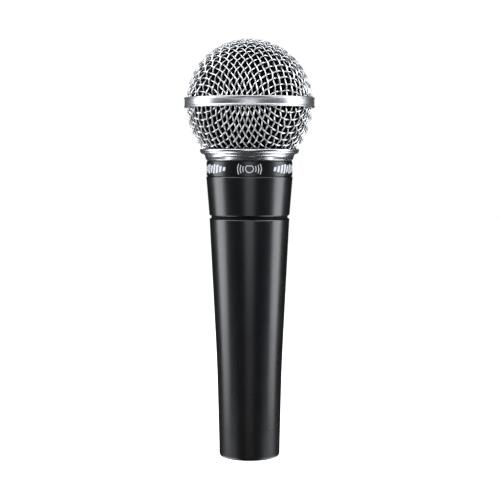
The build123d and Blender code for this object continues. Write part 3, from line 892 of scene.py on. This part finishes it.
@dataclass
class LabelMarks:
    """Generic silver marks printed round the label band: a pickup-pattern sign and level bars.

    Attributes:
        ring_radius: Radius of the band's face, mm.
        height: Level of the marks' middle, mm.
        repeats: How many times the set goes round.
        ink: Thickness of the ink, mm.
    """

    ring_radius: float = 16.575
    height: float = 112.15
    repeats: int = 3
    ink: float = 0.035
    sign_height: float = 3.0
    stroke: float = 0.34
    bar_width: float = 1.15
    bar_gap: float = 0.62
    slant: float = 0.2
    bar_heights: tuple[float, ...] = (1.5, 2.3, 3.1, 3.5, 2.7, 3.5, 3.1, 2.3, 1.5)
    wave_radii: tuple[float, ...] = (2.5, 3.5, 4.5)
    wave_half_angle: float = 26.0

    def _strip(self, outline: Sequence[Point], closed: bool) -> Strip:
        """A stroke of even width along a line, as quads."""
        points: list[Point] = []
        count = len(outline)
        for k, (x, y) in enumerate(outline):
            before = outline[k - 1] if closed or k else outline[k]
            after = outline[(k + 1) % count] if closed or k < count - 1 else outline[k]
            run = Vector((after[0] - before[0], after[1] - before[1])).normalized()
            half = self.stroke / 2.0
            points.append((x - run.y * half, y + run.x * half))
            points.append((x + run.y * half, y - run.x * half))
        last = count if closed else count - 1
        total = 2 * count
        faces = [(2 * k + 1, (2 * k + 3) % total, (2 * k + 2) % total, 2 * k) for k in range(last)]
        return points, faces

    def _sign(self) -> list[Strip]:
        """A heart-shaped pickup pattern between two sets of sound waves."""
        size = self.sign_height / 2.6  # a cardioid's height over the radius that makes it
        count = 40
        heart = []
        for k in range(count):
            angle = k * FULL_TURN / count + math.pi / count
            reach = size * (1.0 - math.sin(angle))
            heart.append((reach * math.cos(angle), reach * math.sin(angle) + 0.85 * size))
        parts = [self._strip(heart, closed=True)]
        for radius in self.wave_radii:
            for side in (1.0, -1.0):
                arc = []
                for k in range(13):
                    angle = math.radians(self.wave_half_angle * (k / 6.0 - 1.0))
                    arc.append((side * radius * math.cos(angle), side * radius * math.sin(angle)))
                parts.append(self._strip(arc, closed=False))
        return parts

    def _bars(self, middle: float) -> list[Strip]:
        """A row of slanted bars of different heights, like a sound level."""
        pitch = self.bar_width + self.bar_gap
        start = middle - pitch * (len(self.bar_heights) - 1) / 2.0
        parts = []
        for k, tall in enumerate(self.bar_heights):
            x, half, lean = start + k * pitch, self.bar_width / 2.0, self.slant * tall / 2.0
            foot, head = ((x + side * lean, side * tall / 2.0) for side in (-1.0, 1.0))
            corners = [
                (foot[0] - half, foot[1]), (foot[0] + half, foot[1]),
                (head[0] + half, head[1]), (head[0] - half, head[1]),
            ]
            parts.append((corners, [(0, 1, 2, 3)]))
        return parts

    def build(self) -> bpy.types.Object:
        """Draws one set flat and lets the tree repeat it round the band."""
        points, faces = [], []
        half_way = math.pi * self.ring_radius / self.repeats
        for outline, strips in [*self._sign(), *self._bars(half_way)]:
            base = len(points)
            points += [(x * MM, y * MM, 0.0) for x, y in outline]
            faces += [tuple(base + k for k in face) for face in strips]
        made = new_object("label_marks", points, faces=faces)
        marks_tree().run(
            made,
            {
                "Repeats": self.repeats,
                "Ring Radius": self.ring_radius * MM,
                "Height": self.height * MM,
                "Ink": self.ink * MM,
                "Finish": PRINT_SILVER.make(),
            },
        )
        tidy_shell(made, merge=0.0005 * MM, smooth=False)
        return made


@cache
def marks_tree() -> GeometryTree:
    """The tree that repeats a flat set of marks, thickens it and wraps it round a ring."""
    kit = GeometryTree(
        "marks_round_a_ring",
        [
            ("Repeats", "NodeSocketInt"),
            ("Ring Radius", "NodeSocketFloat"),
            ("Height", "NodeSocketFloat"),
            ("Ink", "NodeSocketFloat"),
            ("Finish", "NodeSocketMaterial"),
        ],
    )
    tree, source = kit.tree, kit.source
    around = add(tree, "ShaderNodeMath", {0: source["Ring Radius"], 1: FULL_TURN}, operation="MULTIPLY")
    apart = add(tree, "ShaderNodeMath", {0: around, 1: source["Repeats"]}, operation="DIVIDE")
    step = add(tree, "ShaderNodeCombineXYZ", {0: apart})
    row = add(tree, "GeometryNodeMeshLine", {"Count": source["Repeats"], "Offset": step})
    sets = add(tree, "GeometryNodeInstanceOnPoints", {"Points": row, "Instance": source["Geometry"]})
    flat = add(tree, "GeometryNodeRealizeInstances", {0: sets})
    ink = {"Mesh": flat, "Offset Scale": source["Ink"], "Individual": False}
    raised = add(tree, "GeometryNodeExtrudeMesh", ink, mode="FACES")
    under = add(tree, "GeometryNodeFlipFaces", {0: flat})
    both = add(tree, "GeometryNodeJoinGeometry", {0: raised})
    tree.links.new(under.outputs[0], both.inputs[0])
    x, y, z = add(tree, "ShaderNodeSeparateXYZ", {0: add(tree, "GeometryNodeInputPosition")}).outputs
    angle = add(tree, "ShaderNodeMath", {0: x, 1: source["Ring Radius"]}, operation="DIVIDE")
    radius = add(tree, "ShaderNodeMath", {0: z, 1: source["Ring Radius"]})
    right, ahead = (
        add(
            tree,
            "ShaderNodeMath",
            {0: radius, 1: add(tree, "ShaderNodeMath", {0: angle}, operation=name)},
            operation="MULTIPLY",
        )
        for name in ("SINE", "COSINE")
    )
    back = add(tree, "ShaderNodeMath", {0: ahead, 1: -1.0}, operation="MULTIPLY")
    up = add(tree, "ShaderNodeMath", {0: y, 1: source["Height"]})
    bent = add(tree, "ShaderNodeCombineXYZ", {0: right, 1: back, 2: up})
    kit.close(add(tree, "GeometryNodeSetPosition", {"Geometry": both, "Position": bent}))
    return kit


class MicrophoneBody(SubAssembly):
    """The handle, the neck and the label band with its marks."""

    title = "body"
    wears = {BODY_ENAMEL: "handle neck", WASHER_RUBBER: "neck_washer", LABEL_BLACK: "label_band"}

    def build(self) -> list[bpy.types.Object]:
        """Prints the marks."""
        marks = LabelMarks().build()
        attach(marks, "neck")
        return [marks]


class FootConnector(SubAssembly):
    """The three-pin connector in the foot."""

    title = "connector"
    wears = {
        INSERT_NYLON: "connector_insert",
        PIN_SILVER: "pin_1 pin_2 pin_3",
        BARE_BRASS: "ground_clip",
        SCREW_STEEL: "connector_screw",
    }


@dataclass
class TransformerAndLeads(SubAssembly):
    """The transformer in its potting, the leads each side of it and the sleeves at the capsule's tags."""

    title = "transformer"
    wears = {
        CORE_STEEL: "transformer_core",
        BOBBIN_NYLON: "transformer_bobbin",
        COPPER_WINDING: "transformer_winding",
        POTTING_WAX: "transformer_potting",
        LEAD_COLOURS["red"]: "connector_lead_red",
        LEAD_COLOURS["black"]: "connector_lead_black",
    }
    potting_top: float = 62.05
    bend_end: float = 77.6  # where the capsule leads run straight up
    lead_end: float = 80.0  # where they stop, inside their sleeves
    tag_offset: float = 3.0
    sleeve_ends: Point = (78.2, 81.06)
    sleeve_radii: Point = (0.62, 0.88)
    sleeve_edge: float = 0.1

    def _trim(self, shell: bmesh.types.BMesh) -> None:
        """Cuts a capsule lead back inside its sleeve, so that the floating capsule never reaches it."""
        for vertex in shell.verts:
            vertex.co.z = min(vertex.co.z, self.lead_end * MM)

    def build(self) -> list[bpy.types.Object]:
        """Makes the two capsule leads, cut back inside their sleeves, and their sleeves."""
        (low, high), (inner, outer), edge = self.sleeve_ends, self.sleeve_radii, self.sleeve_edge
        face = 0.8  # radius where the rounded edges begin
        ring = [
            (inner, low), (face, low), (outer, low + edge),
            (outer, high - edge), (face, high), (inner, high),
        ]
        made = []
        for colour, side in (("yellow", self.tag_offset), ("green", -self.tag_offset)):
            node = f"cartridge_lead_{colour}"
            lead = copy_node(node, f"{node}_flexing", LEAD_COLOURS[colour], self._trim)
            start, end = ((0, 0, height * MM) for height in (self.potting_top, self.bend_end))
            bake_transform(lead)
            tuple(start)
            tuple(end)
            sleeve = lathe(f"tag_sleeve_{colour}", ring, 48, LEAD_COLOURS["black"])
            for vertex in sleeve.data.vertices:
                vertex.co.x += side * MM
            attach(sleeve, "cartridge")
            made += [lead, sleeve]
        return made


@dataclass
class Capsule(SubAssembly):
    """The moving-coil capsule and its rubber mount."""

    title = "capsule"
    wears = {
        CAPSULE_ABS: "cartridge_housing resonator_cap",
        CHAMBER_ABS: "rear_chamber",
        RING_ALUMINIUM: "screen_ring",
        SCREEN_CLOTH: "port_screen front_screen",
        FELT: "chamber_felt",
        POLE_IRON: "yoke_cup pole_piece top_plate",
        MAGNET_FERRITE: "magnet",
        SEAT_ACETAL: "diaphragm_seat clamp_ring",
        COPPER_WINDING: "voice_coil",
        BOARD_GLASS: "terminal_board",
        BARE_BRASS: "terminal_tag_left terminal_tag_right",
    }
    film_split: float = 9.6  # radius where the film's roll meets its clamped rim
    film_gap: float = 0.02
    film: float = 0.15
    segments: int = 192

    def _free_film(self, shell: bmesh.types.BMesh) -> None:
        """Takes the clamped rim off the film, closes the edge and leaves it just clear of the rim."""
        rim = [f for f in shell.faces if f.calc_center_median().xy.length > self.film_split * MM]
        bmesh.ops.delete(shell, geom=rim, context="FACES")
        edge = [e for e in shell.edges if e.is_boundary]
        for vertex in {v for e in edge for v in e.verts}:
            vertex.co.xy *= (self.film_split - self.film_gap) / vertex.co.xy.length / 1000.0
        bmesh.ops.bridge_loops(shell, edges=edge)

    def _rubber(self) -> bpy.types.Object:
        """Turns the folded rubber ring, which stands on the neck's step."""
        corner, far = (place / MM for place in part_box("shock_mount"))
        low, high, outer = corner.z, far.z, far.x
        bevel, shoulder, web = 0.15, 0.8, 1.0
        bend = [math.radians(a) for a in range(15, 91, 15)]
        section = [
            (12.5, low), (outer - bevel, low), (outer, low + bevel), (outer, high - shoulder),
            *(
                (outer - shoulder + shoulder * math.cos(a), high - shoulder + shoulder * math.sin(a))
                for a in bend
            ),
            # the sleeve round the capsule's stem
            (10.3, high), (10.15, high - bevel), (10.15, low + 1.6), (10.3, low + 1.45),
            (10.95, low + 1.45), (11.1, low + 1.6),
            # under the web and down the wall's inside
            (11.1, high - web - 0.2), (11.3, high - web), (12.2, high - web), (12.4, high - web - 0.2),
            (12.4, low + 0.1),
        ]
        made = lathe("rubber_mount", section, self.segments, MOUNT_RUBBER)
        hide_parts("shock_mount")
        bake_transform(made)
        return made

    def build(self) -> list[bpy.types.Object]:
        """Makes the film, its clamped rim and the rubber mount, in place of their CAD nodes."""
        film = copy_node("diaphragm", "diaphragm_flexing", FILM, self._free_film)
        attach(film, "diaphragm")
        corner, far = (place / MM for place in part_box("diaphragm"))
        inner, outer, low, high = self.film_split, far.x, corner.z, corner.z + self.film
        rim = lathe(
            "diaphragm_rim", [(inner, low), (outer, low), (outer, high), (inner, high)], self.segments, FILM
        )
        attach(rim, "cartridge")
        return [film, rim, self._rubber()]


# --------------------------------------------------------------------------- studio
@dataclass(frozen=True)
class SoftBox:
    """A soft light that stands round the object and faces it.

    Attributes:
        name: The light's name.
        azimuth: Its bearing from the front, degrees, positive to the right.
        elevation: Its height above the level of its aim, degrees.
        distance: From its aim, m.
        width: Across, m.
        height: Up and down, m.
        radiance: How bright its face is, in watts per steradian and square metre.
        aim: Height on the axis that it faces, m.
    """

    name: str
    azimuth: float
    elevation: float
    distance: float
    width: float
    height: float
    radiance: float
    aim: float = 0.09

    def place(self) -> None:
        """Makes the light and links it to the scene."""
        light = bpy.data.lights.new(self.name, "AREA")
        light.shape = "RECTANGLE"
        light.size, light.size_y = self.width, self.height
        light.energy = self.radiance * math.pi * self.width * self.height
        light.color = linear("#f7faff")[:3]
        holder = bpy.data.objects.new(self.name, light)
        bearing, rise = math.radians(self.azimuth), math.radians(self.elevation)
        flat = math.cos(rise)
        away = Vector((math.sin(bearing) * flat, -math.cos(bearing) * flat, math.sin(rise)))
        holder.location = Vector((0.0, 0.0, self.aim)) + away * self.distance
        holder.rotation_euler = away.to_track_quat("Z", "Y").to_euler()
        holder.visible_camera = False
        bpy.context.scene.collection.objects.link(holder)


@dataclass
class Studio:
    """A plain pale studio: soft boxes, a white floor and the camera."""

    camera_distance: float = 0.523
    camera_height: float = 0.118
    aim_height: float = 0.0806
    lens: float = 97.2
    floor_radius: float = 4.0
    boxes: tuple[SoftBox, ...] = field(
        default_factory=lambda: (
            SoftBox("left_box", -91.0, 10.0, 0.62, 0.38, 0.68, 4.6, aim=0.12),
            SoftBox("right_box", 87.0, 10.0, 0.62, 0.36, 0.68, 4.8, aim=0.12),
            SoftBox("front_box", 0.0, -1.0, 1.00, 0.44, 0.34, 2.0, aim=0.09),
            SoftBox("top_front_box", 0.0, 36.0, 0.60, 0.80, 0.34, 3.4, aim=0.12),
            SoftBox("upper_left_box", -66.0, 42.0, 0.60, 0.50, 0.30, 4.8, aim=0.12),
            SoftBox("upper_right_box", 66.0, 42.0, 0.60, 0.50, 0.30, 4.2, aim=0.12),
            SoftBox("low_left_box", -92.0, -48.0, 0.55, 0.66, 0.28, 4.0, aim=0.12),
            SoftBox("low_right_box", 92.0, -48.0, 0.55, 0.66, 0.28, 4.0, aim=0.12),
        )
    )

    def build(self) -> None:
        """Sets up the world, the floor, the lights and the camera."""
        self._world()
        self._floor()
        for box in self.boxes:
            box.place()
        self._camera()
        bpy.context.scene.view_settings.view_transform = "Standard"

    def _world(self) -> None:
        """White behind the object, and nearly dark in what it reflects."""
        world = bpy.data.worlds.new("studio")
        tree = blank_tree(world)
        seen = add(tree, "ShaderNodeLightPath").outputs["Is Camera Ray"]
        dusk, backdrop = (
            add(tree, "ShaderNodeBackground", {"Color": linear("#ffffff"), "Strength": strength})
            for strength in (0.02, 1.0)
        )
        both = add(tree, "ShaderNodeMixShader", {0: seen, 1: dusk, 2: backdrop})
        add(tree, "ShaderNodeOutputWorld", {"Surface": both})
        bpy.context.scene.world = world

    def _floor(self) -> None:
        """A round white floor that takes a faint shadow and isn't seen in the metal."""
        count = 64
        turns = [k * FULL_TURN / count for k in range(count)]
        rim = [(self.floor_radius * math.cos(a), self.floor_radius * math.sin(a), 0.0) for a in turns]
        floor = new_object("studio_floor", rim, faces=[tuple(range(count))])
        material = bpy.data.materials.new("white_paper_floor")
        tree = blank_tree(material)
        glow = add(tree, "ShaderNodeEmission", {"Color": linear("#ffffff"), "Strength": 0.985})
        paper = add(tree, "ShaderNodeBsdfDiffuse", {"Color": linear("#f4f4f4")})
        both = add(tree, "ShaderNodeAddShader", {0: glow, 1: paper})
        add(tree, "ShaderNodeOutputMaterial", {"Surface": both})
        floor.data.materials.append(material)
        floor.visible_glossy = floor.visible_diffuse = floor.visible_shadow = False

    def _camera(self) -> None:
        """A long lens, a little above the object's middle and tipped down to it."""
        lens = bpy.data.cameras.new("view")
        lens.lens = self.lens
        lens.sensor_width = 36.0
        camera = bpy.data.objects.new("view", lens)
        camera.location = (0.0, -self.camera_distance, self.camera_height)
        look = Vector((0.0002, 0.0, self.aim_height)) - camera.location
        camera.rotation_euler = look.to_track_quat("-Z", "Y").to_euler()
        bpy.context.scene.collection.objects.link(camera)
        bpy.context.scene.camera = camera


def main() -> None:
    """Builds every sub-assembly and the studio."""
    logging.basicConfig(level=logging.INFO, format="%(message)s")
    parts = (MicrophoneBody, BallGrille, FoamWindscreen, FootConnector, TransformerAndLeads, Capsule)
    for part in parts:
        part().assemble()
    Studio().build()
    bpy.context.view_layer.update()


if __name__ == "__main__":
    main()
